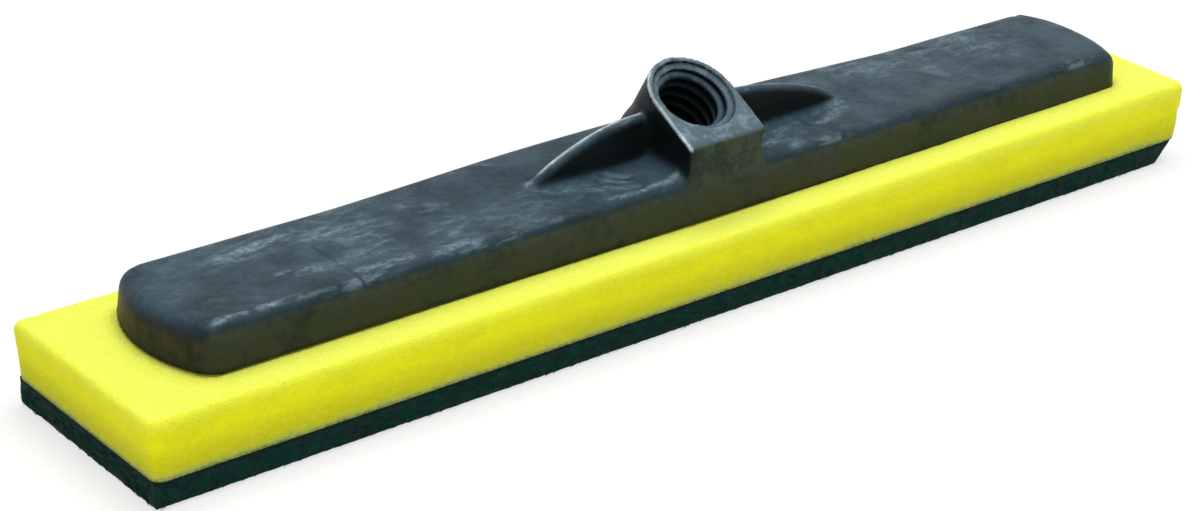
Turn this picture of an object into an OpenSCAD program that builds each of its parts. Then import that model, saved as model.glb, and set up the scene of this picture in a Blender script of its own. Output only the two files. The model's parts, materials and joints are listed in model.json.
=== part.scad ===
// Floor scrubbing head: a moulded block with a tilted socket for a screw-in handle,
// glued on a long sponge that carries a scouring pad. The pad lies on z = 0.

/* [Sponge] */
// Length of the sponge, side to side
sponge_l = 400; // [390:1:500]
// Width of the sponge, front to back
sponge_w = 70; // [55:1:100]
// Thickness of the sponge
sponge_h = 17.5; // [12:0.5:30]

/* [Scouring pad] */
// Thickness of the scouring pad
pad_h = 8; // [4:0.5:12]
// How far the slanted cut at the pad's right end runs under the pad
pad_cut = 7; // [1:0.5:12]

/* [Glue films] */
// Thickness of each glue film
glue_h = 0.4; // [0.2:0.1:1]
// How far each glue film stays back from the edge of the smaller face it joins
glue_inset = 1.5; // [0.5:0.1:4]

/* [Block] */
// Length of the block over its bowed ends
block_l = 370; // [260:1:380]
// Width of the block at its foot
block_w = 48; // [42:1:54]
// Height of the block
block_h = 13.5; // [11:0.5:18]
// How far the block sits to the right of the sponge's middle
block_shift = 2; // [-8:1:8]
// Radius of the bowed ends, seen from above
end_r = 42; // [36:1:120]
// Radius of the four corners, seen from above
corner_r = 9; // [7:0.5:15]
// Lean of the block's walls and of the fins' flanks
draft = 5; // [2:0.5:8]
// Radius of the rounded upper edge along the block's long sides
edge_r = 4.5; // [1:0.25:5]
// Radius of the rounded upper edge over the block's bowed ends
end_edge_r = 6; // [1:0.25:8]

/* [Handle socket] */
// How far the socket sits to the right of the block's middle
socket_shift = 2; // [-6:1:6]
// Lean of the socket towards the front
socket_tilt = 28; // [18:1:34]
// Diameter of the hole, at the roots of the handle's thread
bore_d = 22; // [18:0.5:24]
// Thickness left below the lowest point of the hole
bore_floor = 3.5; // [2:0.5:6]
// Wall around the hole
socket_wall = 3.8; // [3:0.1:6]
// How far the plain lead-in at the mouth is wider than the hole, on each side
lead_step = 2.1; // [0.6:0.1:2.4]
// Depth of the lead-in at the mouth
lead_h = 1.5; // [1:0.1:3]
// Height of the mouth's front edge above the foot of the block
mouth_h = 24; // [20:0.5:30]
// Width of the flat lip between the hole and the mouth's front edge
mouth_lip = 7; // [4:0.2:9]
// How far the socket's front stands behind the block's front wall
front_set = 0.2; // [0.1:0.1:2]
// Radius of the hollow where the socket's sides meet the block's top
foot_r = 4.5; // [2:0.5:7]

/* [Fins] */
// Reach of a fin's tip from the middle of the socket
fin_reach = 61; // [45:1:90]
// Height of a fin's crest above the block's top, where it leaves the socket
fin_rise = 14; // [9:0.5:16]
// How far a fin's crest runs level beside the socket before it curves down
fin_level = 1; // [0.5:0.5:10]
// Thickness of a fin at its crest
fin_t = 4.5; // [3.5:0.25:7]

/* [Hidden] */
$fn = 96;

// Heights of the layers
pad_glue_z = pad_h;
sponge_z = pad_glue_z + glue_h;
block_glue_z = sponge_z + sponge_h;
block_z = block_glue_z + glue_h;

// The mouth of the socket: its front edge ends the socket's front, which leans like the block's front wall
front_y = -block_w / 2 + front_set;
socket_r = bore_d / 2 + socket_wall;
lip_s = bore_d / 2 + mouth_lip;
mouth_y = front_y + mouth_h * tan(draft);
hole_y = mouth_y + lip_s * cos(socket_tilt);
hole_z = mouth_h + lip_s * sin(socket_tilt);
bore_depth = (hole_z - bore_floor - bore_d / 2 * sin(socket_tilt)) / cos(socket_tilt);

// Fins and socket are rooted halfway down the block
root_z = block_h / 2;
fin_start = socket_r + fin_level;
fin_run = fin_reach - fin_start;
fin_r = (fin_run * fin_run + fin_rise * fin_rise) / (2 * fin_rise);
fin_deep = fin_rise + block_h - root_z;

// Half-width of the block's flat top, between its rounded edges
top_half = block_w / 2 - block_h * tan(draft) - edge_r;

// Room by which a cutting or bounding body passes what it cuts
over = 1;

// A corner's round is cut this much larger, so that it meets the walls in a clean edge
corner_ease = 1.01;

function arc(centre, r, from, to, steps) = [
    for (i = [0 : steps])
        let (a = from + (to - from) * i / steps)
            centre + r * [cos(a), sin(a)]
];

// Section of a wall that leans in by lean and ends in a rounded upper edge, from its axis out to reach
function wall_section(reach, h, lean, edge) =
    let (
        z = h - edge,
        centre = [reach - z * tan(lean) - edge / cos(lean), z],
        rim = edge > 0 ? arc(centre, edge, lean, 90, 8) : [[reach - h * tan(lean), h]]
    )
    concat([[0, 0], [reach, 0]], rim, [[0, h]]);

// The same section with its mirror image, as one outline
function both_sides(half) =
    let (wall = [for (i = [1 : len(half) - 2]) half[i]])
    concat(wall, [for (i = [len(wall) - 1 : -1 : 0]) [-wall[i].x, wall[i].y]]);

// Slab with straight sides, bowed ends and round corners, whose walls lean in and have a rounded upper edge
module bowed_slab(l, w, h, bow, corner, lean, edge, end_edge) {
    bow_x = l / 2 - bow;
    corner_y = w / 2 - corner;
    corner_x = bow_x + sqrt(pow(bow - corner, 2) - corner_y * corner_y);
    from = asin(corner_y / (bow - corner));
    clear = 3 * corner;

    difference() {
        intersection() {
            rotate([90, 0, 90]) linear_extrude(l + 2 * over, center = true)
                polygon(both_sides(wall_section(w / 2, h, lean, edge)));
            union() {
                translate([-bow_x, -w / 2 - over, 0]) cube([2 * bow_x, w + 2 * over, h]);
                for (side = [-1, 1])
                    translate([side * bow_x, 0, 0])
                        rotate_extrude() polygon(wall_section(bow, h, lean, end_edge));
            }
        }
        for (sx = [0, 1], sy = [0, 1])
            mirror([sx, 0, 0]) mirror([0, sy, 0])
                translate([corner_x, corner_y, 0])
                    difference() {
                        translate([0, 0, -over]) linear_extrude(h + 2 * over)
                            polygon([[0, 0], clear * [cos(from), sin(from)], [clear, clear], [0, clear]]);
                        rotate_extrude()
                            polygon(wall_section(corner * corner_ease, h, lean, (edge + end_edge) / 2));
                        translate([0, 0, -2 * over]) cylinder(r = corner * corner_ease, h = 2 * over);
                    }
    }
}

// Everything above the roots of the socket and the fins
module above_root() {
    translate([-block_l / 2, -block_w, root_z]) cube([block_l, 2 * block_w, 2 * block_w]);
}

// Moves what is drawn in the plane of the mouth, about the middle of the hole, to its place
module at_mouth() {
    translate([0, hole_y, hole_z]) rotate([socket_tilt, 0, 0]) children();
}

// Arched tube along the hole, with a square front that rises from the block's front wall
module socket() {
    intersection() {
        union() {
            at_mouth() mirror([0, 0, 1]) {
                cylinder(r = socket_r, h = hole_z);
                translate([-socket_r, -lip_s, 0]) cube([2 * socket_r, lip_s, hole_z]);
            }
            rotate([90, 0, 90]) linear_extrude(2 * socket_r, center = true)
                polygon([
                    [front_y, 0],
                    [mouth_y, mouth_h],
                    [hole_y, hole_z],
                    [hole_y, 0]
                ]);
        }
        above_root();
    }
    for (side = [0, 1])
        mirror([side, 0, 0]) socket_foot();
}

// Hollowed strip on the block's flat top, along one side of the socket from its front back to the fin
module socket_foot() {
    rotate([90, 0, 0]) linear_extrude(top_half)
        difference() {
            translate([socket_r - over, block_h - over]) square(foot_r + over);
            translate([socket_r + foot_r, block_h + foot_r]) circle(foot_r);
        }
}

// Section across a fin, with a round crest at r = 0 and flanks that widen downwards
function fin_section() = concat(
    [[-fin_t / 2 - fin_deep * tan(draft), -fin_deep], [fin_t / 2 + fin_deep * tan(draft), -fin_deep]],
    arc([0, -fin_t / 2], fin_t / 2, 0, 180, 10)
);

// One fin: level beside the socket, then down to its tip along an arc
module fin() {
    intersection() {
        union() {
            translate([0, 0, block_h + fin_rise])
                rotate([90, 0, 90]) linear_extrude(fin_start) polygon(fin_section());
            translate([fin_start, 0, block_h + fin_rise - fin_r])
                rotate([90, 0, 0]) rotate_extrude(angle = 90)
                    translate([fin_r, 0]) rotate(-90) polygon(fin_section());
        }
        above_root();
    }
}

module base_block() {
    color([0.23, 0.27, 0.29])
        translate([block_shift, 0, block_z])
            difference() {
                union() {
                    bowed_slab(block_l, block_w, block_h, end_r, corner_r, draft, edge_r, end_edge_r);
                    translate([socket_shift, 0, 0]) {
                        socket();
                        fin();
                        mirror([1, 0, 0]) fin();
                    }
                }
                translate([socket_shift, 0, 0]) at_mouth() mirror([0, 0, 1]) {
                    cylinder(d = bore_d, h = bore_depth);
                    translate([0, 0, -over]) cylinder(r = bore_d / 2 + lead_step, h = lead_h + over);
                }
            }
}

module block_glue() {
    color([0.86, 0.80, 0.58])
        translate([block_shift, 0, block_glue_z])
            bowed_slab(block_l - 2 * glue_inset, block_w - 2 * glue_inset, glue_h,
                end_r - glue_inset, corner_r - glue_inset, 0, 0, 0);
}

module sponge() {
    color([0.93, 0.90, 0.14])
        translate([-sponge_l / 2, -sponge_w / 2, sponge_z])
            cube([sponge_l, sponge_w, sponge_h]);
}

module pad_glue() {
    color([0.70, 0.74, 0.30])
        translate([-sponge_l / 2 + glue_inset, -sponge_w / 2 + glue_inset, pad_glue_z])
            cube([sponge_l - 2 * glue_inset, sponge_w - 2 * glue_inset, glue_h]);
}

module scouring_pad() {
    color([0.05, 0.17, 0.14])
        rotate([90, 0, 0]) linear_extrude(sponge_w, center = true)
            polygon([
                [-sponge_l / 2, 0],
                [sponge_l / 2 - pad_cut, 0],
                [sponge_l / 2, pad_h],
                [-sponge_l / 2, pad_h]
            ]);
}

base_block();
block_glue();
sponge();
pad_glue();
scouring_pad();
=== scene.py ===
"""Floor scrubbing head: a moulded block with a threaded handle socket, foam and a scouring pad."""

import json
import math
import random

import bpy
import numpy as np
from bpy.props import FloatProperty, FloatVectorProperty, IntProperty, PointerProperty
from mathutils import Matrix, Vector
from mathutils.bvhtree import BVHTree


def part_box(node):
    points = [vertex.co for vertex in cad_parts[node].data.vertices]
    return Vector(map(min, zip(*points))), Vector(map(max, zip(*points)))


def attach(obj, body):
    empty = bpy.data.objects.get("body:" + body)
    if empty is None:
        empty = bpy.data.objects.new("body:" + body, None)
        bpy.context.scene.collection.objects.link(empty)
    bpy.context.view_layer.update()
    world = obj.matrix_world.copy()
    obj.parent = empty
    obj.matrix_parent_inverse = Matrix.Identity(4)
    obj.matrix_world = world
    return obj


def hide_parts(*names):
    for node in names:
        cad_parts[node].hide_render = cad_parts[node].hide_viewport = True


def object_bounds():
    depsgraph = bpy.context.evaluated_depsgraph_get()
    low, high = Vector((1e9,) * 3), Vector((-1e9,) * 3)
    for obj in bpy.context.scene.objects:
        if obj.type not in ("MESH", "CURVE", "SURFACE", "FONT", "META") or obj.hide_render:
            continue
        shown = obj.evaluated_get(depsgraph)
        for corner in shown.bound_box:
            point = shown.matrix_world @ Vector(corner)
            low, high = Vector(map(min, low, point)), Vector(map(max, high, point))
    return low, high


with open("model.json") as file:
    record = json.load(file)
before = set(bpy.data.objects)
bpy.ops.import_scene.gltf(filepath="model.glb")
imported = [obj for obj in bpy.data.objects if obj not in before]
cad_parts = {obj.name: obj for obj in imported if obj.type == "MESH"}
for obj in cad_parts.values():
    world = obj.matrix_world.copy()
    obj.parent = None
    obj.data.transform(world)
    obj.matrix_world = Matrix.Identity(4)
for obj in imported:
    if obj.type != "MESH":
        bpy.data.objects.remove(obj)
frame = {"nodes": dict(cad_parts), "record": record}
CAD_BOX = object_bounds()

bl_info = {
    "name": "Floor Scrubbing Head",
    "version": (1, 0, 0),
    "blender": (4, 5, 0),
    "location": "View3D > Sidebar > Scrubbing Head",
    "description": "Dresses the scrubbing head: block, socket thread, foam, pad, glue and stage",
    "category": "Object",
}

MM = 0.001

# What the frame gives of the block: its handle hole, its foot and the height of its flat top
SOCKET = next(m for m in frame["record"]["mounts"] if m["name"] == "handle_socket")
SOCKET_MIDDLE = np.array(SOCKET["pos_m"])
SOCKET_AXIS = np.array(SOCKET["axis"])
SOCKET_X = SOCKET_MIDDLE[0]
BORE = SOCKET["dims"]["r_mm"] * MM
BORE_DEPTH = SOCKET["dims"]["length_mm"] * MM
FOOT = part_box("base_block")[0][2]
FAR_FROM_SOCKET = 100.0 * MM
DECK = max(v.co.z for v in frame["nodes"]["base_block"].data.vertices if abs(v.co.x) > FAR_FROM_SOCKET)

# Height of the pad's upper face
PAD_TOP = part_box("scouring_pad")[1][2]

# What only the block's source gives: the plain lead-in of the hole, the socket's wall and the fins
LEAD_DEPTH = 1.5 * MM
LEAD_RADIUS = BORE + 2.1 * MM
SOCKET_RADIUS = BORE + 3.8 * MM
FIN_REACH = 61.0 * MM

# How far foam and pad are first made past the joint between them, where they are then cut flat
SPARE = 5.0 * MM

# Where the mould left a fine line across the block's top
MOULD_LINE_X = -126.5 * MM

# Rubs on the block: a line from x, y to x, y, half its width, all in millimetres, and its strength
RUBS = (
    (-173, -19.3, -163, -18.9, 1.1, 1.0),
    (-158, -19.4, -146, -19.2, 1.0, 0.9),
    (-150, 10.0, -131, 13.0, 4.0, 0.75),
    (-142, -7.0, -124, -10.0, 2.2, 0.65),
    (-125, 8.0, -112, 10.0, 3.0, 0.60),
    (-120, -8.0, -108, -3.0, 3.5, 0.45),
    (-124, -16.5, -88, -18.5, 1.8, 0.75),
    (-58, -0.5, -53, 0.5, 1.2, 0.80),
    (-75, -19.5, -69, -18.0, 0.9, 0.80),
    (-38, -19.0, -13, -18.0, 1.5, 0.70),
    (27, -15.0, 41, -10.0, 2.6, 0.50),
    (54, -10.0, 68, -4.0, 3.0, 0.50),
    (110, -9.0, 146, 3.0, 5.0, 0.12),
)


# Settings

def setting(kind, **limits):
    """A kind of setting, to be declared with a name, a description and a value."""
    def declare(name, description, value):
        return kind(name=name, description=description, default=value, **limits)
    return declare


colour = setting(FloatVectorProperty, size=4, min=0.0, max=1.0, subtype="COLOR")
spot = setting(FloatVectorProperty, size=3, precision=5, subtype="XYZ", unit="LENGTH")
length = setting(FloatProperty, min=0.0, precision=5, subtype="DISTANCE", unit="LENGTH")
angle = setting(FloatProperty, subtype="ANGLE", unit="ROTATION")
power = setting(FloatProperty, min=0.0, unit="POWER")
share = setting(FloatProperty, min=0.0, max=1.0, subtype="FACTOR")
number = setting(FloatProperty, min=0.0)
whole = setting(IntProperty, min=0)


class BlockSettings(bpy.types.PropertyGroup):
    """The moulded plastic block with its handle socket and fins"""

    plastic: colour("Plastic", "Body colour of the moulded block", (0.0026, 0.0046, 0.0050, 1.0))
    # Partly a dusty film and partly painted sheen: this colour lightens the faces that look up, where the
    # light from above falls.
    bloom_and_sheen_tint: colour("Dull plastic", "Colour of the bloom on surfaces that face up", (0.035, 0.062, 0.081, 1.0))
    grime: colour("Grime", "Colour of the foam dust on the outer walls", (0.033, 0.039, 0.015, 1.0))
    soil: colour("Soil", "Earthy tint in the dust on the outer walls", (0.040, 0.035, 0.024, 1.0))
    front: colour("Socket front", "Colour of the dusty front of the socket", (0.040, 0.056, 0.032, 1.0))
    scuff: colour("Scuffs", "Colour of the pale drag marks", (0.200, 0.280, 0.320, 1.0))
    # Painted highlight: the bright line along the mouth's left edge and along the fin crests
    glint: colour("Worn edge", "Colour of the polished edge of the mouth", (0.660, 0.760, 0.800, 1.0))
    swell: length("Swell", "How far the top rises behind the fins", 2.4 * MM)
    crisp: length("Crisp corner", "How far the right end's upper edge fills out at the back", 0.9 * MM)
    right_fin: length("Right fin", "How much longer the right fin is than the moulding's design", 6.0 * MM)
    left_fin: length("Left fin", "How much shorter the left fin is than the moulding's design", 2.6 * MM)
    grain: length("Mesh step", "Size of the faces that the block is built from", 0.55 * MM)
    triangles: whole("Triangles", "Most triangles of the block", 190000)
    waviness: length("Waviness", "Depth of the sink and warp of the moulding", 0.22 * MM)
    flash: length("Flash", "How far the parting line stands out near the foot", 0.14 * MM)
    groove: length("Mould line", "Depth of the fine line across the top", 0.09 * MM)
    gloss: share("Roughness", "Roughness of the clean plastic", 0.46)


class ThreadSettings(bpy.types.PropertyGroup):
    """The coarse thread inside the handle socket"""

    pitch: length("Pitch", "Distance from one turn to the next", 4.0 * MM)
    depth: length("Depth", "Height of the ridge above the bore", 1.75 * MM)
    root: length("Root width", "Width of the ridge at the bore", 2.5 * MM)
    crest: length("Crest width", "Width of the flat crest", 0.9 * MM)
    start: angle("Start", "Where the ridge begins round the mouth", math.radians(165.0))
    bite: length("Bite", "How far the ridge is rooted in the wall", 0.3 * MM)
    turns: number("Turns", "Turns of the ridge", 5.6)


class FoamSettings(bpy.types.PropertyGroup):
    """The yellow foam"""

    foam: colour("Foam", "Body colour of the foam", (0.800, 0.805, 0.004, 1.0))
    # Painted light: this pale colour lightens the upper face and the top of the sides, as the light from
    # above would
    pale: colour("Pale foam", "Bleached colour of the foam's upper face", (0.742, 0.790, 0.092, 1.0))
    # Painted shade: this colour darkens the foam's sides towards the pad
    low: colour("Low foam", "Warmer colour of the foam close to the pad", (0.548, 0.548, 0.008, 1.0))
    spark: colour("Bright cells", "Colour of the cell walls that catch light", (0.900, 0.900, 0.170, 1.0))
    haze: colour("Glue haze", "Colour of the glue-soaked foam at the pad", (0.340, 0.410, 0.110, 1.0))
    tuft: colour("Tufts", "Colour of the pad's fibres caught in the foam", (0.020, 0.050, 0.026, 1.0))
    round: length("Edge", "Rounding of the edges before they are softened", 2.4 * MM)
    flare: length("Flare", "How far the upper edges of the ends lean out", 2.2 * MM)
    rise: length("Rise", "How far the foam beside the block is thicker at its right end", 2.0 * MM)
    fold: length("Fold", "Depth of the small fold in the front at the right end", 0.35 * MM)
    stretch: length("Stretch", "How far the free right end of the foam hangs over the pad", 1.4 * MM)
    soften: whole("Soften", "Rounds of smoothing on the upper edges", 9)
    grain: length("Mesh step", "Size of the faces that the foam is built from", 0.95 * MM)
    bow: length("Bow", "Depth of the slow waves of the cut faces", 1.0 * MM)
    bulge: length("Bulge", "How far the foam is pressed up beside the block", 0.5 * MM)
    mottle: length("Mottle", "Depth of the fine unevenness of the cut faces", 0.18 * MM)
    soak: length("Soaked height", "Height of the glue-soaked foam above the pad", 2.3 * MM)
    fill: share("Fill", "How tightly the foam fills its shape", 0.9)


class PadSettings(bpy.types.PropertyGroup):
    """The dark scouring pad and its fibres"""

    pad: colour("Pad", "Body colour of the scouring pad", (0.0012, 0.0150, 0.0118, 1.0))
    fibre: colour("Fibres", "Colour of the fibres that catch the light", (0.004, 0.050, 0.038, 1.0))
    shade: colour("Shade", "Colour of the pad close under the foam", (0.0012, 0.0050, 0.0045, 1.0))
    grain: length("Mesh step", "Size of the faces that the pad is built from", 0.95 * MM)
    shag: length("Shag", "Depth of the open, tangled surface", 0.35 * MM)
    strand: length("Strand", "Thickness of one fibre", 0.16 * MM)
    side_count: whole("Side fibres", "Fibres on the edges", 5200)
    face_count: whole("Face fibres", "Fibres on the face", 5200)
    seed: whole("Seed", "Start of the fibre scatter", 7)
    fill: share("Fill", "How tightly the fibre web fills its shape", 0.8)


class GlueSettings(bpy.types.PropertyGroup):
    """The two glue films"""

    glue: colour("Glue", "Colour of the dried glue", (0.300, 0.330, 0.180, 1.0))
    dust: colour("Dusty glue", "Colour of the glue where it took up dust", (0.130, 0.150, 0.080, 1.0))


class StageSettings(bpy.types.PropertyGroup):
    """Camera, floor and studio light"""

    place: spot("Camera place", "Where the camera stands", (-0.51228, -0.55375, 0.36742))
    target: spot("Camera target", "The point in the middle of the picture", (-0.05089, -0.02996, 0.03000))
    roll: angle("Camera roll", "Turn of the camera about its own axis", math.radians(3.293))
    lens: number("Focal length", "Focal length on a 36 mm wide sensor, in millimetres", 82.36)
    floor: colour("Floor", "Colour of the pale floor", (0.86, 0.86, 0.86, 1.0))
    shadow: share("Shadow", "How much of the floor's own shading the camera sees", 0.35)
    sky: number("Room light", "Strength of the light from all round", 0.42)
    overhead: power("Overhead light", "Power of the large light above", 17.2)
    fill: power("Fill light", "Power of the soft light at the front left", 3.7)


# Modelling helpers

def select_only(piece):
    if bpy.context.mode != "OBJECT":
        bpy.ops.object.mode_set(mode="OBJECT")
    bpy.ops.object.select_all(action="DESELECT")
    piece.select_set(True)
    bpy.context.view_layer.objects.active = piece


def edit_all(piece):
    select_only(piece)
    bpy.ops.object.mode_set(mode="EDIT")
    bpy.ops.mesh.select_all(action="SELECT")


def leave_edit():
    bpy.ops.object.mode_set(mode="OBJECT")


def edit_faces(piece, wanted):
    """Enter edit mode with only the wanted faces chosen."""
    edit_all(piece)
    bpy.ops.mesh.select_mode(type="FACE")
    bpy.ops.mesh.select_all(action="DESELECT")
    leave_edit()
    for face in piece.data.polygons:
        face.select = wanted(face)
    bpy.ops.object.mode_set(mode="EDIT")


def apply_modifier(piece, kind, **settings):
    select_only(piece)
    bpy.ops.object.modifier_add(type=kind)
    made = piece.modifiers[-1]
    for name, value in settings.items():
        setattr(made, name, value)
    bpy.ops.object.modifier_apply(modifier=made.name)


def remesh(piece, size):
    apply_modifier(piece, "REMESH", mode="VOXEL", voxel_size=size, adaptivity=0.0)


def soften(piece, rounds, group=""):
    apply_modifier(piece, "SMOOTH", factor=0.5, iterations=rounds, vertex_group=group)


def roughen(piece, name, size, strength, group, detail=2, level=0.5):
    """Push the points of a vertex group in and out by a cloud pattern of the given size."""
    pattern = bpy.data.textures.new(name, type="CLOUDS")
    pattern.noise_scale = size
    pattern.noise_depth = detail
    pattern.noise_basis = "ORIGINAL_PERLIN"
    apply_modifier(piece, "DISPLACE", texture=pattern, strength=strength, mid_level=level,
                   texture_coords="LOCAL", vertex_group=group)


def added(operator, **settings):
    """Add an object with one of Blender's own operators and hand it back."""
    bpy.ops.object.select_all(action="DESELECT")
    operator(**settings)
    return bpy.context.active_object


def add_piece(name, mesh):
    piece = bpy.data.objects.new(name, mesh)
    bpy.context.collection.objects.link(piece)
    return piece


def piece_from_node(node, name):
    """Copy a CAD node's mesh into a new piece and close its loose triangles."""
    piece = add_piece(name, frame["nodes"][node].data.copy())
    piece.data.name = name
    piece.data.materials.clear()
    edit_all(piece)
    bpy.ops.mesh.remove_doubles(threshold=0.02 * MM)
    leave_edit()
    return piece


def vertex_rows(piece, field):
    rows = np.empty(len(piece.data.vertices) * 3)
    piece.data.vertices.foreach_get(field, rows)
    return rows.reshape(-1, 3)


def places_of(piece):
    return vertex_rows(piece, "co")


def normals_of(piece):
    return vertex_rows(piece, "normal")


def set_places(piece, places):
    piece.data.vertices.foreach_set("co", places.reshape(-1))
    piece.data.update()


def grow(values, start, end):
    """0 up to the start, 1 past the end and straight between them; the end may lie below the start."""
    return np.clip((values - start) / (end - start), 0.0, 1.0)


def ease(values, start, end):
    """The same as grow, with a soft start and a soft end."""
    t = grow(values, start, end)
    return t * t * (3.0 - 2.0 * t)


def hump(values, middle, width):
    """1 at the middle, fading out on both sides over about the width."""
    return np.exp(-((values - middle) / width) ** 2)


def weigh(piece, name, weights, levels=20):
    """Store one weight per vertex in a vertex group, in a number of levels."""
    group = piece.vertex_groups.new(name=name)
    steps = np.rint(np.clip(weights, 0.0, 1.0) * levels).astype(int)
    for step in range(1, levels + 1):
        chosen = np.nonzero(steps == step)[0].tolist()
        if chosen:
            group.add(chosen, step / levels, "REPLACE")


def neighbour_mean(values, edges):
    count = len(values)
    ends = np.concatenate([edges, edges[:, ::-1]])
    total = np.maximum(np.bincount(ends[:, 0], minlength=count), 1)
    sums = [np.bincount(ends[:, 0], weights=values[ends[:, 1], axis], minlength=count)
            for axis in range(values.shape[1])]
    return np.stack(sums, axis=1) / total[:, None]


def cut_level(piece, level, keep_above):
    """Cut a piece flat at one level, and close the cut."""
    edit_all(piece)
    bpy.ops.mesh.bisect(
        plane_co=(0.0, 0.0, level), plane_no=(0.0, 0.0, 1.0), use_fill=True,
        clear_inner=keep_above, clear_outer=not keep_above)
    leave_edit()


def stand_out(piece, rounds, depth):
    """How far each point stands out of the smoothed surface, in units of the given depth."""
    places = places_of(piece)
    edges = np.empty(len(piece.data.edges) * 2, dtype=np.int64)
    piece.data.edges.foreach_get("vertices", edges)
    edges = edges.reshape(-1, 2)
    smooth = places.copy()
    for _ in range(rounds):
        smooth = neighbour_mean(smooth, edges)
    return ((places - smooth) * normals_of(piece)).sum(axis=1) / depth


def keep_mark(piece, name, values):
    marks = piece.data.attributes.new(name, "FLOAT", "POINT")
    marks.data.foreach_set("value", np.clip(values, -1.0, 1.0))


def mark_mouth(piece):
    """Mark the rubbed lip of the handle hole, the painted glints on the mouth's left edge and on the fin
    crests, and the painted shade deep inside the hole.
    """
    places = places_of(piece)
    normals = normals_of(piece)
    mouth = SOCKET_MIDDLE + SOCKET_AXIS * (BORE_DEPTH / 2.0 + LEAD_DEPTH)
    offset = places - mouth
    depth = -(offset @ SOCKET_AXIS)
    radius = np.linalg.norm(offset + depth[:, None] * SOCKET_AXIS, axis=1)
    facing = normals @ SOCKET_AXIS
    ahead = facing > 0.6
    lip = hump(depth, 0.0, 0.7 * MM) * ahead
    step = 0.7 * hump(depth, LEAD_DEPTH, 0.5 * MM) * ahead * (radius < LEAD_RADIUS + 0.3 * MM)
    first_turn = 0.22 * (radius < BORE - 1.5 * MM) * (depth < 6.0 * MM)
    keep_mark(piece, "handled", np.maximum(np.maximum(lip, step), first_turn))

    # Painted glint: only edges that face left, where the light catches them, and the crests of the fins
    left = np.maximum(grow(mouth[0] - places[:, 0], 2.0 * MM, 11.0 * MM), 0.12)
    edge = hump(depth, 0.45 * MM, 0.55 * MM) * grow(radius, LEAD_RADIUS + 0.1 * MM, LEAD_RADIUS + 0.9 * MM)
    edge *= grow(-normals[:, 0], 0.05, 0.30)
    edge *= grow(facing, 0.97, 0.77) * (facing > 0.15)
    aside = np.abs(places[:, 0] - mouth[0])
    crest = hump(places[:, 1], 0.3 * MM, 0.5 * MM) * (normals[:, 2] > 0.4)
    crest *= grow(places[:, 2], DECK + 2.0 * MM, DECK + 6.0 * MM)
    crest *= (aside > SOCKET_RADIUS + 0.7 * MM) & (aside < FIN_REACH + 5.0 * MM)
    keep_mark(piece, "glint", np.maximum(edge * left, 0.85 * crest * np.maximum(left, 0.2)))
    # Painted shade deep inside the hole
    keep_mark(piece, "inside", grow(depth, 5.0 * MM, 8.0 * MM) * (radius < BORE + 1.2 * MM))


def mark_rubs(piece):
    """Mark the pale rubs on the block's top, each along a line between two places, and the mould line."""
    places = places_of(piece)
    rubbed = np.zeros(len(places))
    for start_x, start_y, end_x, end_y, width, strength in RUBS:
        start = np.array((start_x, start_y)) * MM
        run = np.array((end_x, end_y)) * MM - start
        along = np.clip((places[:, :2] - start) @ run / (run @ run), 0.0, 1.0)
        away = np.linalg.norm(places[:, :2] - start - along[:, None] * run, axis=1)
        rubbed = np.maximum(rubbed, strength * hump(away, 0.0, width * MM))
    on_top = grow(normals_of(piece)[:, 2], 0.35, 0.60) * (places[:, 2] > DECK - 5.0 * MM)
    keep_mark(piece, "rubbed", rubbed * on_top)
    keep_mark(piece, "mould_line", on_top * mould_line(places))


def mould_line(places):
    """How close each place is to the fine line that the mould leaves across the left of the top."""
    return hump(places[:, 0], MOULD_LINE_X, 0.65 * MM) * grow(places[:, 1], 8.0 * MM, 2.0 * MM)


def dress(piece, material, slot, *nodes):
    """Give a finished piece its material and its body, and hide the nodes it stands for. The slot is not
    used.
    """
    piece.data.materials.clear()
    piece.data.materials.append(material)
    select_only(piece)
    bpy.ops.object.shade_smooth()
    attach(piece, "root")
    if nodes:
        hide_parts(*nodes)


# Material helpers

def feed(tree, socket, value):
    """Link an input to another node's output, or set it to a plain value."""
    if isinstance(value, bpy.types.NodeSocket):
        tree.links.new(value, socket)
    else:
        socket.default_value = value


def add_node(tree, kind, inputs, **settings):
    made = tree.nodes.new(kind)
    for name, value in settings.items():
        setattr(made, name, value)
    for key, value in inputs.items():
        feed(tree, made.inputs[key], value)
    return made


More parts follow.
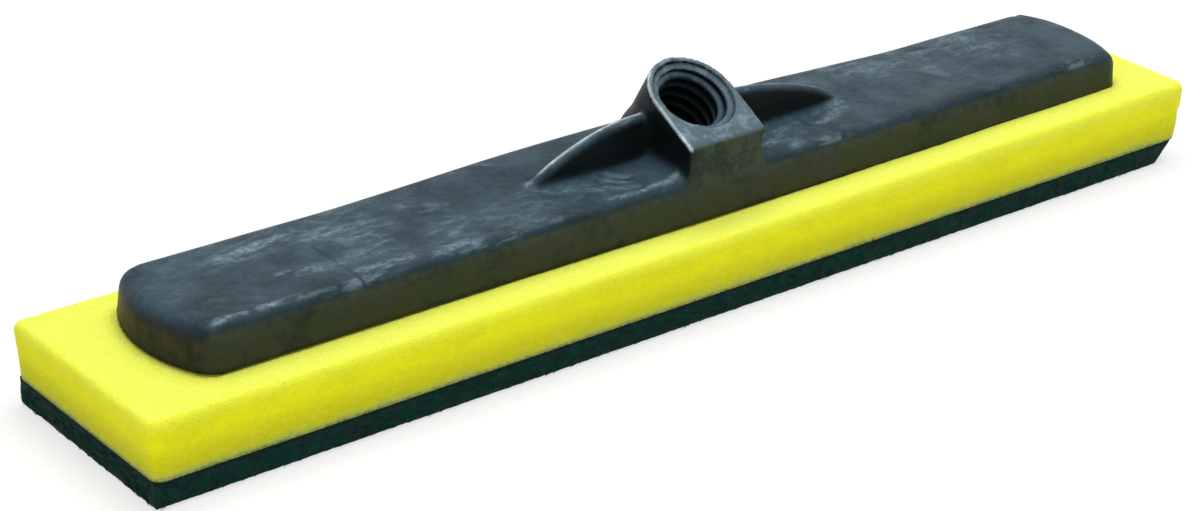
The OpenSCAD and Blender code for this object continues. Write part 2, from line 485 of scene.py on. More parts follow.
class Finish:
    """A procedural material while its nodes are being joined up."""

    def __init__(self, name, **sockets):
        self.material = bpy.data.materials.new(name)
        self.material.use_nodes = True
        self.tree = self.material.node_tree
        self.shader = self.tree.nodes["Principled BSDF"]
        self.place = self.tree.nodes.new("ShaderNodeTexCoord").outputs["Object"]
        for socket, value in sockets.items():
            self.shader.inputs[socket.replace("_", " ")].default_value = value

    def node(self, kind, inputs, **settings):
        return add_node(self.tree, kind, inputs, **settings)

    def mapped(self, size, turn=0.0, vector=None):
        """Coordinates in units of the given size along each axis, turned about the vertical."""
        return self.node("ShaderNodeMapping", {
            "Vector": vector or self.place, "Rotation": (0.0, 0.0, turn), "Scale": size},
            vector_type="TEXTURE").outputs[0]

    def wander(self, size, reach):
        """Coordinates that drift to and fro, so that straight patterns turn into curved ones."""
        drift = self.node("ShaderNodeTexNoise", {
            "Vector": self.place, "Scale": 1.0 / size, "Detail": 2.0}).outputs["Color"]
        return self.node("ShaderNodeVectorMath", {0: drift, 1: (reach, reach, reach), 2: self.place},
                         operation="MULTIPLY_ADD").outputs[0]

    def noise(self, scale, detail=3.0, rough=0.55, vector=None):
        return self.node("ShaderNodeTexNoise", {
            "Vector": vector or self.place, "Scale": scale,
            "Detail": detail, "Roughness": rough}).outputs[0]

    def cells(self, size, feature="F1", vector=None):
        return self.node("ShaderNodeTexVoronoi", {
            "Vector": vector or self.place, "Scale": 1.0 / size}, feature=feature).outputs[0]

    def ramp(self, value, low, high, start=0.0, end=1.0):
        return self.node("ShaderNodeMapRange", {
            "Value": value, "From Min": low, "From Max": high, "To Min": start, "To Max": end},
            interpolation_type="SMOOTHSTEP").outputs[0]

    def maths(self, operation, *values):
        return self.node("ShaderNodeMath", dict(enumerate(values)), operation=operation).outputs[0]

    def times(self, first, *others):
        for other in others:
            first = self.maths("MULTIPLY", first, other)
        return first

    def most(self, first, *others):
        for other in others:
            first = self.maths("MAXIMUM", first, other)
        return first

    def blend(self, amount, first, second):
        return self.node("ShaderNodeMix", {0: amount, 6: first, 7: second}, data_type="RGBA").outputs[2]

    def relief(self, height, depth, under=None):
        inputs = {"Height": height, "Distance": depth, "Strength": 1.0}
        if under is not None:
            inputs["Normal"] = under
        return self.node("ShaderNodeBump", inputs).outputs[0]

    def axis(self, name):
        return self.node("ShaderNodeSeparateXYZ", {0: self.place}).outputs[name]

    def facing(self, name):
        normal = self.node("ShaderNodeNewGeometry", {}).outputs["Normal"]
        return self.node("ShaderNodeSeparateXYZ", {0: normal}).outputs[name]

    def mark(self, name):
        return self.node("ShaderNodeAttribute", {}, attribute_name=name).outputs["Fac"]

    def close(self, base, rough=None, normal=None):
        for name, value in (("Base Color", base), ("Roughness", rough), ("Normal", normal)):
            if value is not None:
                feed(self.tree, self.shader.inputs[name], value)
        return self.material


# Finishes

def wall_dust(finish, base, upward, settings):
    """Foam dust and soil on the block's walls and on the front of the socket, thinned at the foot as a
    painted contact shadow.
    """
    patchy = finish.ramp(finish.noise(62.0, 7.0, 0.70), 0.28, 0.70, 0.30, 1.2)
    # Painted contact shadow: less dust, so darker plastic, in the lowest 3 mm of the walls
    foot_shadow = finish.ramp(finish.axis("Z"), FOOT, FOOT + 3.0 * MM, 0.35, 1.0)
    flecked = finish.ramp(finish.noise(300.0, 5.0, 0.72), 0.32, 0.66, 0.62, 1.28)
    sidelong = finish.ramp(upward, 0.0, 0.75, 1.0, 0.0)
    dust = finish.times(sidelong, finish.times(patchy, foot_shadow, flecked))
    ahead = finish.times(finish.ramp(finish.axis("Y"), -19.0 * MM, -13.5 * MM, 1.0, 0.0),
                         finish.ramp(finish.facing("Y"), -0.85, -0.5, 1.0, 0.0))
    base = finish.blend(finish.times(dust, ahead), base, settings.front)
    earthy = finish.ramp(finish.noise(40.0, 5.0, 0.65), 0.42, 0.66)
    dirt = finish.blend(earthy, settings.grime, settings.soil)
    wall = finish.ramp(finish.axis("Z"), FOOT + 6.0 * MM, FOOT + 14.0 * MM, 1.0, 0.0)
    return finish.blend(finish.times(dust, wall), base, dirt)


def drag_marks(finish, upward, lengthwise, curved):
    """Pale smears all over the top, thinner at its ends, and the rubs at their own places."""
    slanting = finish.mapped((8.0 * MM, 3.4 * MM, 3.0 * MM), -0.45, curved)
    slanting = finish.noise(1.0, 4.0, 0.62, slanting)
    first = finish.times(finish.ramp(lengthwise, 0.42, 0.78, 0.0, 0.75),
                         finish.ramp(finish.noise(24.0, 3.0, 0.55), 0.48, 0.68))
    second = finish.times(finish.ramp(slanting, 0.42, 0.80, 0.0, 0.62),
                          finish.ramp(finish.noise(31.0, 3.0, 0.55), 0.47, 0.66))
    broken = finish.ramp(finish.noise(420.0, 5.0, 0.75), 0.30, 0.66, 0.35, 1.25)
    inward = finish.ramp(finish.maths("ABSOLUTE", finish.axis("X")), 140.0 * MM, 168.0 * MM, 1.0, 0.25)
    smears = finish.times(finish.most(first, second), finish.ramp(upward, 0.86, 1.0), broken, inward)
    wisps = finish.times(finish.ramp(lengthwise, 0.38, 0.62, 0.04, 1.0),
                         finish.ramp(finish.noise(520.0, 5.0, 0.75), 0.32, 0.64, 0.25, 1.2))
    return finish.most(smears, finish.times(finish.mark("rubbed"), wisps))


def worn_edges(finish, upward, lengthwise, bruise):
    """Pale wear where the surface stands out: on sharp edges, and here and there on the rolled ones."""
    stand = finish.mark("stand_out")
    sharp = finish.times(finish.ramp(stand, 0.50, 0.95), bruise, finish.ramp(upward, 0.05, 0.5))
    rolled = finish.times(finish.ramp(stand, 0.10, 0.26), finish.ramp(lengthwise, 0.44, 0.66),
                          finish.ramp(finish.noise(19.0, 2.0, 0.5), 0.50, 0.60),
                          finish.ramp(finish.facing("Z"), 0.50, 0.80),
                          finish.ramp(finish.maths("ABSOLUTE", finish.facing("X")), 0.12, 0.35, 1.0, 0.0))
    return finish.most(finish.times(sharp, 0.25), finish.times(rolled, 0.40))


def plastic_finish(settings):
    """Black plastic with a pale dusty film and painted sheen on the faces that look up, painted shade near
    the top's front edge, dusty on its walls and scuffed along its top.
    """
    finish = Finish("scuffed_plastic", Specular_IOR_Level=0.09, Specular_Tint=(0.70, 0.95, 1.0, 1.0))
    upward = finish.ramp(finish.facing("Z"), 0.20, 0.98)
    # Painted sheen over a mottled dusty film: lighter on faces that look up, held back by painted shade
    # close to the top's front edge.
    cloud = finish.ramp(finish.noise(48.0, 7.0, 0.70), 0.32, 0.66, 0.42, 1.0)
    speckle = finish.ramp(finish.noise(640.0, 4.0, 0.70), 0.30, 0.70, 0.80, 1.20)
    rolling = finish.ramp(finish.facing("Z"), 0.10, 0.92)
    front_edge_shade = finish.ramp(finish.axis("Y"), -21.5 * MM, -13.0 * MM, 0.66, 1.0)
    bloom_and_sheen = finish.times(cloud, speckle, rolling, front_edge_shade)
    base = finish.blend(bloom_and_sheen, settings.plastic, settings.bloom_and_sheen_tint)
    base = wall_dust(finish, base, upward, settings)

    curved = finish.wander(9.0 * MM, 2.6 * MM)
    lengthwise = finish.mapped((9.0 * MM, 2.8 * MM, 2.8 * MM), 0.10, curved)
    lengthwise = finish.noise(1.0, 4.0, 0.62, lengthwise)
    bruise = finish.ramp(finish.noise(210.0, 5.0, 0.68), 0.40, 0.66)
    palmed = finish.times(finish.mark("handled"), finish.ramp(bruise, 0.0, 1.0, 0.32, 0.72))
    marks = finish.most(drag_marks(finish, upward, lengthwise, curved),
                        worn_edges(finish, upward, lengthwise, bruise), palmed)
    base = finish.blend(marks, base, settings.scuff)
    # Painted highlight along the glint marks
    painted_glint = finish.times(finish.mark("glint"), finish.ramp(bruise, 0.0, 1.0, 0.55, 1.0))
    base = finish.blend(painted_glint, base, settings.glint)
    # Painted shade deep inside the hole, together with the darker mould line
    dark = finish.most(finish.mark("inside"), finish.times(finish.mark("mould_line"), 0.42))
    base = finish.blend(finish.times(dark, 0.9), base, settings.plastic)

    sheen = finish.noise(90.0, 5.0, 0.62)
    rough = finish.ramp(sheen, 0.3, 0.7, settings.gloss - 0.07, settings.gloss + 0.10)
    rough = finish.maths("ADD", rough, finish.times(marks, 0.18))
    hollow = finish.ramp(finish.mark("stand_out"), -0.45, -0.06, 1.0, 0.0)
    rough = finish.maths("ADD", rough, finish.times(hollow, 0.45))
    grain = finish.relief(finish.noise(1500.0, 3.0, 0.6), 0.06 * MM)
    return finish.close(base, rough, finish.relief(lengthwise, 0.10 * MM, grain))


def foam_finish(settings):
    """Yellow cut foam with fine cells, painted light on its upper face and upper edges, painted shade lower
    down, painted sparkles on a few cells, and glue drawn up where it meets the pad.
    """
    finish = Finish(
        "yellow_foam", Roughness=0.85, Specular_IOR_Level=0.07, Sheen_Weight=0.05, Sheen_Roughness=0.45,
        Subsurface_Weight=0.55, Subsurface_Radius=(1.0, 0.95, 0.12), Subsurface_Scale=4.0 * MM)
    low, high = (corner[2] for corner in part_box("sponge"))
    height = finish.axis("Z")
    drift = finish.ramp(finish.noise(240.0, 4.0, 0.65), 0.25, 0.75, -0.9 * MM, 0.9 * MM)
    level = finish.maths("ADD", height, drift)

    tone = finish.ramp(finish.noise(60.0, 5.0, 0.65), 0.30, 0.70, 0.0, 0.35)
    # Painted shade, darker towards the pad, mixed with random tone
    painted_low_shade = finish.ramp(height, low + 1.5 * MM, low + 13.0 * MM, 1.0, 0.0)
    base = finish.blend(finish.most(tone, painted_low_shade), settings.foam, settings.low)
    # Painted light on the upper face and on the top few millimetres of the sides
    crown = finish.ramp(height, high - 5.5 * MM, high - 0.3 * MM, 0.0, 0.5)
    upward = finish.ramp(finish.facing("Z"), 0.45, 0.98)
    base = finish.blend(finish.most(upward, crown), base, settings.pale)

    cells = finish.node("ShaderNodeTexVoronoi", {"Vector": finish.place, "Scale": 1.0 / (1.7 * MM)})
    chosen = finish.ramp(cells.outputs["Color"], 0.80, 0.88)
    glint = finish.times(finish.ramp(cells.outputs["Distance"], 0.05, 0.42, 1.0, 0.0), chosen)
    flecks = finish.ramp(finish.noise(700.0, 3.0, 0.6), 0.45, 0.75, 0.0, 0.10)
    bright = finish.most(finish.times(glint, 0.30), flecks)
    base = finish.blend(bright, base, settings.spark)

    soaked = finish.ramp(level, low - 0.3 * settings.soak, low + 1.25 * settings.soak, 1.0, 0.0)
    base = finish.blend(finish.times(soaked, 0.9), base, settings.haze)
    tufts = finish.times(finish.ramp(finish.noise(760.0, 5.0, 0.75), 0.36, 0.66),
                         finish.ramp(height, low - 0.3 * MM, low + 1.3 * MM, 1.0, 0.0))
    base = finish.blend(finish.times(tufts, 0.75), base, settings.tuft)
    pores = finish.cells(0.62 * MM)
    walls = finish.relief(finish.ramp(pores, 0.0, 0.55), 0.20 * MM)
    return finish.close(base, None, finish.relief(finish.noise(480.0, 4.0, 0.65), 0.22 * MM, walls))


def pad_finish(name, settings, loose):
    """Dark fibre web: the body between the strands, or the loose strands themselves."""
    finish = Finish(name, Specular_IOR_Level=0.10)
    web = finish.cells(0.9 * MM, "DISTANCE_TO_EDGE", finish.mapped((1.0, 1.0, 0.55)))
    threads = finish.ramp(web, 0.02, 0.22, 1.0, 0.0)
    patch = finish.ramp(finish.noise(150.0, 5.0, 0.65), 0.36, 0.66)
    amount = finish.times(threads, finish.ramp(patch, 0.0, 1.0, 0.15, 0.8))
    if loose:
        amount = finish.ramp(finish.noise(330.0, 3.0, 0.55), 0.30, 0.70, 0.1, 1.0)
    base = finish.blend(amount, settings.pad, settings.fibre)
    shade = finish.ramp(finish.axis("Z"), PAD_TOP - 1.6 * MM, PAD_TOP - 0.2 * MM, 0.0, 0.75)
    base = finish.blend(shade, base, settings.shade)
    rough = finish.ramp(patch, 0.0, 1.0, 0.60, 0.85)
    return finish.close(base, rough, finish.relief(web, 0.4 * MM))


def glue_finish(settings):
    """Dried contact glue, cloudy and dusty."""
    finish = Finish("dried_glue")
    cloudy = finish.ramp(finish.noise(160.0, 5.0, 0.65), 0.35, 0.65)
    base = finish.blend(cloudy, settings.glue, settings.dust)
    rough = finish.ramp(cloudy, 0.0, 1.0, 0.45, 0.8)
    return finish.close(base, rough, finish.relief(finish.noise(700.0, 3.0, 0.6), 0.1 * MM))


# Pieces

def round_socket(piece):
    """Round the lower corners of the socket's front, and the roots of the socket and the fins."""
    places = places_of(piece)
    height = places[:, 2]
    from_corner = np.abs(np.abs(places[:, 0] - SOCKET_X) - SOCKET_RADIUS + 0.3 * MM)
    corner = grow(from_corner, 5.0 * MM, 0.0) * (places[:, 1] < -13.0 * MM)
    corner *= grow(height, DECK + 8.5 * MM, DECK + 4.5 * MM) * (height > DECK - 4.0 * MM)
    weigh(piece, "socket_corner", 2.0 * corner)
    soften(piece, 110, "socket_corner")
    hollow = np.clip(-3.0 * stand_out(piece, 24, 1.0 * MM), 0.0, 1.0)
    from_axis = np.linalg.norm(np.cross(places_of(piece) - SOCKET_MIDDLE, SOCKET_AXIS), axis=1)
    outside = (from_axis > SOCKET_RADIUS - 0.8 * MM) & (height > DECK - 1.0 * MM)
    weigh(piece, "roots", hollow * outside)
    soften(piece, 40, "roots")


def shape_top(piece, settings):
    """Let the top swell behind the fins, shift the fins' tips and fill out the right end's upper edge."""
    places = places_of(piece)
    offset = places[:, 0] - SOCKET_X
    reach = np.abs(offset)
    height = places[:, 2]
    swell = ease(reach, 120.0 * MM, 35.0 * MM) * ease(places[:, 1], -8.0 * MM, 12.0 * MM)
    swell *= ease(height, FOOT + 3.0 * MM, FOOT + 12.0 * MM)
    swell *= ease(height, DECK + 12.0 * MM, DECK + 2.0 * MM)
    places[:, 2] += settings.swell * swell
    tip = ease(reach, 20.0 * MM, 56.0 * MM) * ease(reach, 104.0 * MM, 64.0 * MM)
    tip *= ease(np.abs(places[:, 1]), 14.0 * MM, 6.0 * MM) * (height > DECK - 2.0 * MM)
    places[:, 0] += tip * np.where(offset > 0.0, settings.right_fin, settings.left_fin)
    set_places(piece, places)
    normals = normals_of(piece)
    edge = hump(normals[:, 2], 0.70, 0.28) * (places[:, 2] > FOOT + 4.0 * MM)
    edge *= ease(normals[:, 0], 0.15, 0.50) * (places[:, 0] > 120.0 * MM)
    edge *= ease(places[:, 1], -4.0 * MM, 14.0 * MM)
    places += normals * (settings.crisp * edge)[:, None]
    set_places(piece, places)


def add_mould_lines(piece, settings):
    """Raise the parting line near the foot and press the fine line into the top."""
    places = places_of(piece)
    normals = normals_of(piece)
    ridge = hump(places[:, 2], FOOT + 1.7 * MM, 0.5 * MM) * (np.hypot(normals[:, 0], normals[:, 1]) > 0.6)
    places += normals * (settings.flash * ridge)[:, None]
    line = mould_line(places) * grow(normals[:, 2], 0.4, 0.7) * (places[:, 2] > DECK - 5.0 * MM)
    places[:, 2] -= settings.groove * line
    set_places(piece, places)


class SCRUB_OT_moulded_block(bpy.types.Operator):
    """Soften the block's edges and roots as a mould gives them, and raise its parting line"""

    bl_idname = "scrub.moulded_block"
    bl_label = "Moulded Block"

    def execute(self, context):
        settings = context.scene.scrub_block
        piece = piece_from_node("base_block", "moulded_block")
        remesh(piece, settings.grain)
        soften(piece, 9)
        round_socket(piece)
        shape_top(piece, settings)
        weigh(piece, "shell", grow(places_of(piece)[:, 2], FOOT, FOOT + 3.0 * MM))
        roughen(piece, "sink", 42.0 * MM, 2.0 * settings.waviness, "shell")
        add_mould_lines(piece, settings)
        keep_mark(piece, "stand_out", stand_out(piece, 12, 0.45 * MM))
        mark_mouth(piece)
        mark_rubs(piece)
        apply_modifier(piece, "DECIMATE", ratio=settings.triangles / (2.0 * len(piece.data.polygons)))
        dress(piece, plastic_finish(settings), "block_plastic", "base_block")
        return {"FINISHED"}


class SCRUB_OT_socket_thread(bpy.types.Operator):
    """Turn the coarse ridge of the handle thread and root it in the wall of the bore"""

    bl_idname = "scrub.socket_thread"
    bl_label = "Socket Thread"

    def execute(self, context):
        settings = context.scene.scrub_thread
        wall = BORE + settings.bite
        crest = BORE - settings.depth
        half = settings.crest / 2.0
        drop = 0.25 * MM
        blunt = 0.15 * MM
        section = [
            (wall, -settings.root / 2), (crest + drop, -half - blunt), (crest, -half + blunt),
            (crest, half - blunt), (crest + drop, half + blunt), (wall, settings.root / 2)]
        per_step = len(section)
        mesh = bpy.data.meshes.new("socket_thread")
        mesh.from_pydata([(r, 0.0, z) for r, z in section],
                         [(i, (i + 1) % per_step) for i in range(per_step)], [])
        piece = add_piece("socket_thread", mesh)
        steps_per_turn = 72
        steps = round(steps_per_turn * settings.turns)
        apply_modifier(piece, "SCREW", axis="Z", angle=2.0 * math.pi * settings.turns,
                       screw_offset=settings.pitch * settings.turns, iterations=1,
                       steps=steps, render_steps=steps, use_merge_vertices=False)
        places = places_of(piece)
        order = np.arange(len(places)) // per_step
        run_in = 14.0
        run_out = 8.0
        grown = np.clip(np.minimum(order / run_in, (steps - order) / run_out), 0.0, 1.0)
        radius = np.hypot(places[:, 0], places[:, 1])
        places[:, :2] *= ((wall + (radius - wall) * grown) / radius)[:, None]
        places[:, 2] += BORE_DEPTH / 2.0 - settings.pitch * settings.turns - 0.5 * settings.root
        set_places(piece, places)
        begin = Matrix.Rotation(settings.start - 2.0 * math.pi * settings.turns, 4, "Z")
        tilt = Vector((0.0, 0.0, 1.0)).rotation_difference(Vector(SOCKET_AXIS)).to_matrix().to_4x4()
        piece.data.transform(Matrix.Translation(Vector(SOCKET_MIDDLE)) @ tilt @ begin)
        edit_all(piece)
        bpy.ops.mesh.fill_holes(sides=per_step)
        bpy.ops.mesh.normals_make_consistent(inside=False)
        leave_edit()
        keep_mark(piece, "stand_out", stand_out(piece, 1, 4.0 * MM))
        mark_mouth(piece)
        dress(piece, bpy.data.materials["scuffed_plastic"], "block_plastic")
        return {"FINISHED"}


def beside_block(places, chosen, below):
    """How close each chosen place is to the block's wall, and whether the block holds it down."""
    block = frame["nodes"]["base_block"].data
    solid = BVHTree.FromPolygons([v.co for v in block.vertices], [p.vertices for p in block.polygons])
    near = np.zeros(len(places))
    held = np.zeros(len(places), dtype=bool)
    for index in chosen:
        x, y = places[index, :2]
        hit = solid.ray_cast(Vector((x, y, below)), Vector((0.0, 0.0, 1.0)))[0]
        if hit is None:
            near[index] = math.exp(-solid.find_nearest(Vector((x, y, FOOT)))[3] / (5.0 * MM))
        else:
            held[index] = solid.find_nearest(Vector((x, y, FOOT + 3.0 * MM)))[3] > 1.6 * MM
    return near, held


def pull_foam(piece, low, high, near, held, settings):
    """Press the foam up beside the block, lean its ends out, and stretch, fold and lift its right end."""
    places = places_of(piece)
    places[:, 2] += near * settings.bulge
    lean = grow(places[:, 2], low.z, high.z)
    ends = grow(np.abs(places[:, 0]), 0.6 * high.x, high.x)
    places[:, 0] += np.sign(places[:, 0]) * settings.flare * lean * ends
    places[:, 0] += settings.stretch * ease(places[:, 0], high.x - 20.0 * MM, high.x - 2.0 * MM)
    crease = low.z + 8.0 * MM + 0.1 * (places[:, 0] - high.x)
    fold = hump(places[:, 2], crease, 1.1 * MM) * (places[:, 1] < -0.8 * high.y)
    fold *= ease(places[:, 0], high.x - 26.0 * MM, high.x - 6.0 * MM)
    places[:, 1] += settings.fold * fold
    places[:, 2] += settings.rise * grow(places[:, 0], 0.0, high.x) * lean * ~held
    set_places(piece, places)


class SCRUB_OT_foam(bpy.types.Operator):
    """Cut the foam, soften its edges, let its faces wave and press it up round the block"""

    bl_idname = "scrub.foam"
    bl_label = "Foam"

    def execute(self, context):
        settings = context.scene.scrub_foam
        low, high = (Vector(corner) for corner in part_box("sponge"))
        deep = low - Vector((0.0, 0.0, SPARE))
        piece = added(bpy.ops.mesh.primitive_cube_add, size=1.0,
                      location=(deep + high) / 2.0, scale=high - deep)
        piece.name = "foam"
        piece.data.name = "foam"
        bpy.ops.object.transform_apply(location=True, rotation=True, scale=True)
        edit_all(piece)
        bpy.ops.mesh.bevel(offset=settings.round, segments=5, affect="EDGES")
        leave_edit()
        remesh(piece, settings.grain)
        weigh(piece, "upper", grow(places_of(piece)[:, 2], low.z + 1.5 * MM, low.z + 7.5 * MM))
        soften(piece, 2)
        soften(piece, settings.soften, "upper")

        places = places_of(piece)
        on_top = np.nonzero(places[:, 2] > high.z - 1.5 * MM)[0]
        near, held = beside_block(places, on_top, low.z)
        weigh(piece, "open_face", grow(places[:, 2], low.z, low.z + 4.0 * MM) * ~held)
        roughen(piece, "cut_wave", 55.0 * MM, settings.bow, "open_face")
        roughen(piece, "cut_mottle", 2.2 * MM, 2.0 * settings.mottle, "open_face", detail=3)
        pull_foam(piece, low, high, near, held, settings)
        cut_level(piece, PAD_TOP, True)
        dress(piece, foam_finish(settings), "sponge_foam", "sponge")
        return {"FINISHED"}


class SCRUB_OT_scouring_pad(bpy.types.Operator):
    """Rough up the body of the scouring pad into an open fibre web"""

    bl_idname = "scrub.scouring_pad"
    bl_label = "Scouring Pad"

    def execute(self, context):
        settings = context.scene.scrub_pad
        piece = piece_from_node("scouring_pad", "pad_web")
        edit_faces(piece, lambda face: face.center.z > PAD_TOP - 0.1 * MM)
        bpy.ops.mesh.extrude_region_move(TRANSFORM_OT_translate={"value": (0.0, 0.0, SPARE)})
        leave_edit()
        remesh(piece, settings.grain)
        soften(piece, 3)
        weigh(piece, "open_web", grow(places_of(piece)[:, 2], PAD_TOP, PAD_TOP - 1.5 * MM))
        roughen(piece, "web_lumps", 9.0 * MM, settings.shag, "open_web", level=0.6)
        roughen(piece, "web_tangle", 1.8 * MM, 1.6 * settings.shag, "open_web", detail=3, level=0.6)
        cut_level(piece, PAD_TOP, False)
        dress(piece, pad_finish("pad_web", settings, False), "pad_fibre", "scouring_pad")
        return {"FINISHED"}


def strand(chance, start, outward, heading):
    """Points of one curled fibre that lies close to the surface it starts from."""
    across = outward.cross(heading)
    run = chance.uniform(1.5, 4.5) * MM
    curl = chance.uniform(-0.8, 0.8)
    lift = chance.uniform(0.02, 0.28) * MM
    points = []
    for step in range(5):
        t = step / 4.0
        point = start + heading * (run * (t - 0.5)) + across * (curl * run * ((t - 0.5) ** 2 - 0.1))
        points.append(point + outward * (lift * math.sin(math.pi * t) - 0.06 * MM))
    return points


def thread_tube(points, radius, vertices, faces):
    """Add a thin three-sided tube along the points, closed at both ends."""
    first = len(vertices)
    for index, point in enumerate(points):
        ahead = points[min(index + 1, len(points) - 1)] - points[max(index - 1, 0)]
        side = ahead.orthogonal().normalized() * radius
        for corner in range(3):
            turned = side.copy()
            turned.rotate(Matrix.Rotation(2.0 * math.pi * corner / 3.0, 3, ahead.normalized()))
            vertices.append(point + turned)
    for ring in range(len(points) - 1):
        for corner in range(3):
            a = first + ring * 3 + corner
            b = first + ring * 3 + (corner + 1) % 3
            faces.append((a, b, b + 3, a + 3))
    last = first + (len(points) - 1) * 3
    faces.append((first + 2, first + 1, first))
    faces.append((last, last + 1, last + 2))


def scatter(piece, count, chance, wanted):
    """Points and normals spread evenly over the wanted faces of a piece."""
    faces = [face for face in piece.data.polygons if wanted(face)]
    sums = np.cumsum([face.area for face in faces])
    for _ in range(count):
        face = faces[int(np.searchsorted(sums, chance.random() * sums[-1]))]
        corners = [piece.data.vertices[i].co for i in face.vertices]
        a, b = sorted((chance.random(), chance.random()))
        place = corners[0] * a + corners[1] * (b - a) + corners[2] * (1.0 - b)
        yield place, face.normal.copy()


class SCRUB_OT_pad_fibres(bpy.types.Operator):
    """Lay loose fibres over the edges and the face of the scouring pad"""

    bl_idname = "scrub.pad_fibres"
    bl_label = "Pad Fibres"

    def execute(self, context):
        settings = context.scene.scrub_pad
        chance = random.Random(settings.seed)
        web = bpy.data.objects["pad_web"]
        low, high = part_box("scouring_pad")
        finish = pad_finish("pad_fibres", settings, True)
        inset = 3.0 * MM

        def on_edge(face):
            x, y, z = face.center
            on_side = abs(face.normal.y) > 0.7 and low[0] + inset < x < high[0] - 3.0 * inset
            on_end = abs(face.normal.x) > 0.6 and low[1] + inset < y < high[1] - inset
            return (on_side or on_end) and low[2] + 0.9 * MM < z < high[2] - 0.5 * MM

        def on_face(face):
            return (face.normal.z < -0.8 and face.center.z < low[2] + 1.5 * MM
                    and low[0] + inset < face.center.x < high[0] - 4.0 * inset
                    and low[1] + inset < face.center.y < high[1] - inset)

        groups = (
            ("edge_fibres", settings.side_count, on_edge),
            ("face_fibres", settings.face_count, on_face),
        )
        for name, count, wanted in groups:
            vertices = []
            faces = []
            for place, outward in scatter(web, count, chance, wanted):
                if name == "edge_fibres":
                    outward = Vector((outward.x, outward.y, 0.3 * outward.z)).normalized()
                    slope = chance.gauss(0.0, 0.35)
                else:
                    outward = Vector((0.0, 0.0, -1.0))
                    slope = chance.uniform(-math.pi, math.pi)
                heading = outward.cross(Vector((0.0, 0.0, 1.0)))
                if heading.length < 0.1:
                    heading = Vector((1.0, 0.0, 0.0))
                heading.normalize()
                heading.rotate(Matrix.Rotation(slope, 3, outward))
                points = strand(chance, place, outward, heading)
                for point in points:
                    point.z = min(max(point.z, low[2] + 0.6 * settings.strand), high[2] + 0.4 * MM)
                thread_tube(points, settings.strand / 2.0, vertices, faces)
            mesh = bpy.data.meshes.new(name)
            mesh.from_pydata(vertices, [], faces)
            piece = add_piece(name, mesh)
            edit_all(piece)
            bpy.ops.mesh.normals_make_consistent(inside=False)
            leave_edit()
            dress(piece, finish, "pad_fibre")
        return {"FINISHED"}


class SCRUB_OT_glue_films(bpy.types.Operator):
    """Finish the two glue films that hold the layers together"""

    bl_idname = "scrub.glue_films"
    bl_label = "Glue Films"

    def execute(self, context):
        finish = glue_finish(context.scene.scrub_glue)
        for name in ("block_glue", "pad_glue"):
            film = frame["nodes"][name]
            film.data.materials.clear()
            film.data.materials.append(finish)
        return {"FINISHED"}


# Stage

WHITE = (1.0, 1.0, 1.0, 1.0)


def seen_white(tree, lit, white):
    """Show white to the camera, mirrors and glass, and the lit shader to everything else."""
    rays = add_node(tree, "ShaderNodeLightPath", {}).outputs
    direct = rays["Is Camera Ray"]
    for kind in ("Is Glossy Ray", "Is Transmission Ray"):
        either = add_node(tree, "ShaderNodeMath", {0: direct, 1: rays[kind]}, operation="MAXIMUM")
        direct = either.outputs[0]
    return add_node(tree, "ShaderNodeMixShader", {0: direct, 1: lit, 2: white}).outputs[0]


def add_camera(scene, settings):
    place = Vector(settings.place)
    forward = (Vector(settings.target) - place).normalized()
    right = forward.cross(Vector((0.0, 0.0, 1.0))).normalized()
    above = right.cross(forward)
    turned = right * math.cos(settings.roll) + above * math.sin(settings.roll)
    upward = turned.cross(forward)
    camera = added(bpy.ops.object.camera_add)
    camera.data.lens = settings.lens
    camera.data.sensor_width = 36.0
    camera.data.sensor_fit = "HORIZONTAL"
    camera.data.clip_start = 0.01
    axes = Matrix((turned, upward, -forward)).transposed().to_4x4()
    camera.matrix_world = Matrix.Translation(place) @ axes
    scene.camera = camera


def add_floor(settings):
    """A pale floor, close to white for the camera, that keeps the object's shadow."""
    below_part = 0.2 * MM
    place = (0.0, 0.0, CAD_BOX[0][2] - below_part)
    floor = added(bpy.ops.mesh.primitive_plane_add, size=8.0, location=place)
    floor.name = "floor"
    finish = Finish("pale_floor", Roughness=0.9, Base_Color=settings.floor)
    lit = finish.shader.outputs[0]
    white = finish.node("ShaderNodeEmission", {"Color": WHITE}).outputs[0]
    seen = finish.node("ShaderNodeMixShader", {0: settings.shadow, 1: white, 2: lit}).outputs[0]
    surface = finish.tree.nodes["Material Output"].inputs["Surface"]
    feed(finish.tree, surface, seen_white(finish.tree, lit, seen))
    floor.data.materials.append(finish.material)


def add_room(scene, settings):
    """Even light from all round, in front of a white backdrop."""
    world = bpy.data.worlds.new("studio")
    scene.world = world
    world.use_nodes = True
    tree = world.node_tree
    room = tree.nodes["Background"]
    room.inputs["Color"].default_value = WHITE
    room.inputs["Strength"].default_value = settings.sky
    backdrop = add_node(tree, "ShaderNodeBackground", {"Color": WHITE})
    surface = tree.nodes["World Output"].inputs["Surface"]
    feed(tree, surface, seen_white(tree, room.outputs[0], backdrop.outputs[0]))


def area_light(name, place, target, size, watts):
    lamp = added(bpy.ops.object.light_add, type="AREA", location=place)
    lamp.name = name
    lamp.data.shape = "DISK"
    lamp.data.size = size
    lamp.data.energy = watts
    lamp.rotation_euler = (target - place).to_track_quat("-Z", "Y").to_euler()


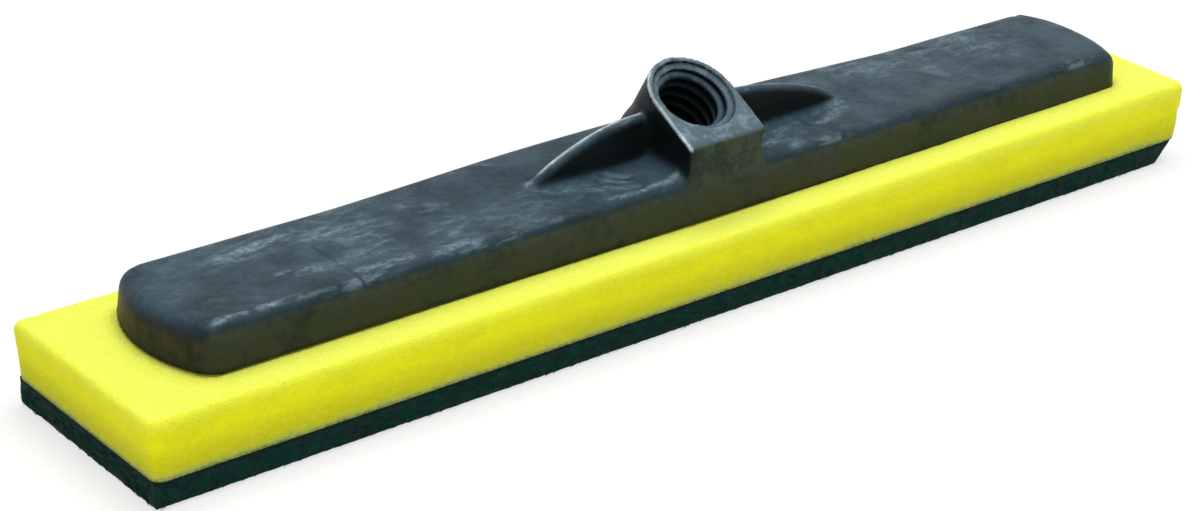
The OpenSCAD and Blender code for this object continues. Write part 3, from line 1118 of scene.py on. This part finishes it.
class SCRUB_OT_stage(bpy.types.Operator):
    """Set up the camera, the pale floor and the soft studio light"""

    bl_idname = "scrub.stage"
    bl_label = "Stage"

    def execute(self, context):
        scene = context.scene
        settings = scene.scrub_stage
        scene.view_settings.view_transform = "Standard"
        add_camera(scene, settings)
        add_floor(settings)
        add_room(scene, settings)
        aim = Vector((0.0, 0.0, 0.03))
        area_light("overhead", Vector((0.10, 0.10, 1.30)), aim, 1.2, settings.overhead)
        area_light("fill", Vector((-0.75, -0.98, 0.7)), aim, 0.8, settings.fill)
        return {"FINISHED"}


# Add-on

class SCRUB_PT_pieces(bpy.types.Panel):
    """The pieces of the scrubbing head and the stage"""

    bl_idname = "SCRUB_PT_pieces"
    bl_label = "Scrubbing Head"
    bl_space_type = "VIEW_3D"
    bl_region_type = "UI"
    bl_category = "Scrubbing Head"

    def draw(self, context):
        for operator in OPERATORS:
            self.layout.operator(operator.bl_idname)


SETTINGS = {
    "scrub_block": BlockSettings,
    "scrub_thread": ThreadSettings,
    "scrub_foam": FoamSettings,
    "scrub_pad": PadSettings,
    "scrub_glue": GlueSettings,
    "scrub_stage": StageSettings,
}

OPERATORS = (
    SCRUB_OT_stage,
    SCRUB_OT_moulded_block,
    SCRUB_OT_socket_thread,
    SCRUB_OT_foam,
    SCRUB_OT_scouring_pad,
    SCRUB_OT_pad_fibres,
    SCRUB_OT_glue_films,
)


def register():
    for name, group in SETTINGS.items():
        bpy.utils.register_class(group)
        setattr(bpy.types.Scene, name, PointerProperty(type=group))
    for operator in OPERATORS:
        bpy.utils.register_class(operator)
    bpy.utils.register_class(SCRUB_PT_pieces)


def unregister():
    bpy.utils.unregister_class(SCRUB_PT_pieces)
    for operator in reversed(OPERATORS):
        bpy.utils.unregister_class(operator)
    for name, group in reversed(SETTINGS.items()):
        delattr(bpy.types.Scene, name)
        bpy.utils.unregister_class(group)


def main():
    register()
    bpy.ops.scrub.stage()
    bpy.ops.scrub.moulded_block()
    bpy.ops.scrub.socket_thread()
    bpy.ops.scrub.foam()
    bpy.ops.scrub.scouring_pad()
    bpy.ops.scrub.pad_fibres()
    bpy.ops.scrub.glue_films()


if __name__ == "__main__":
    main()
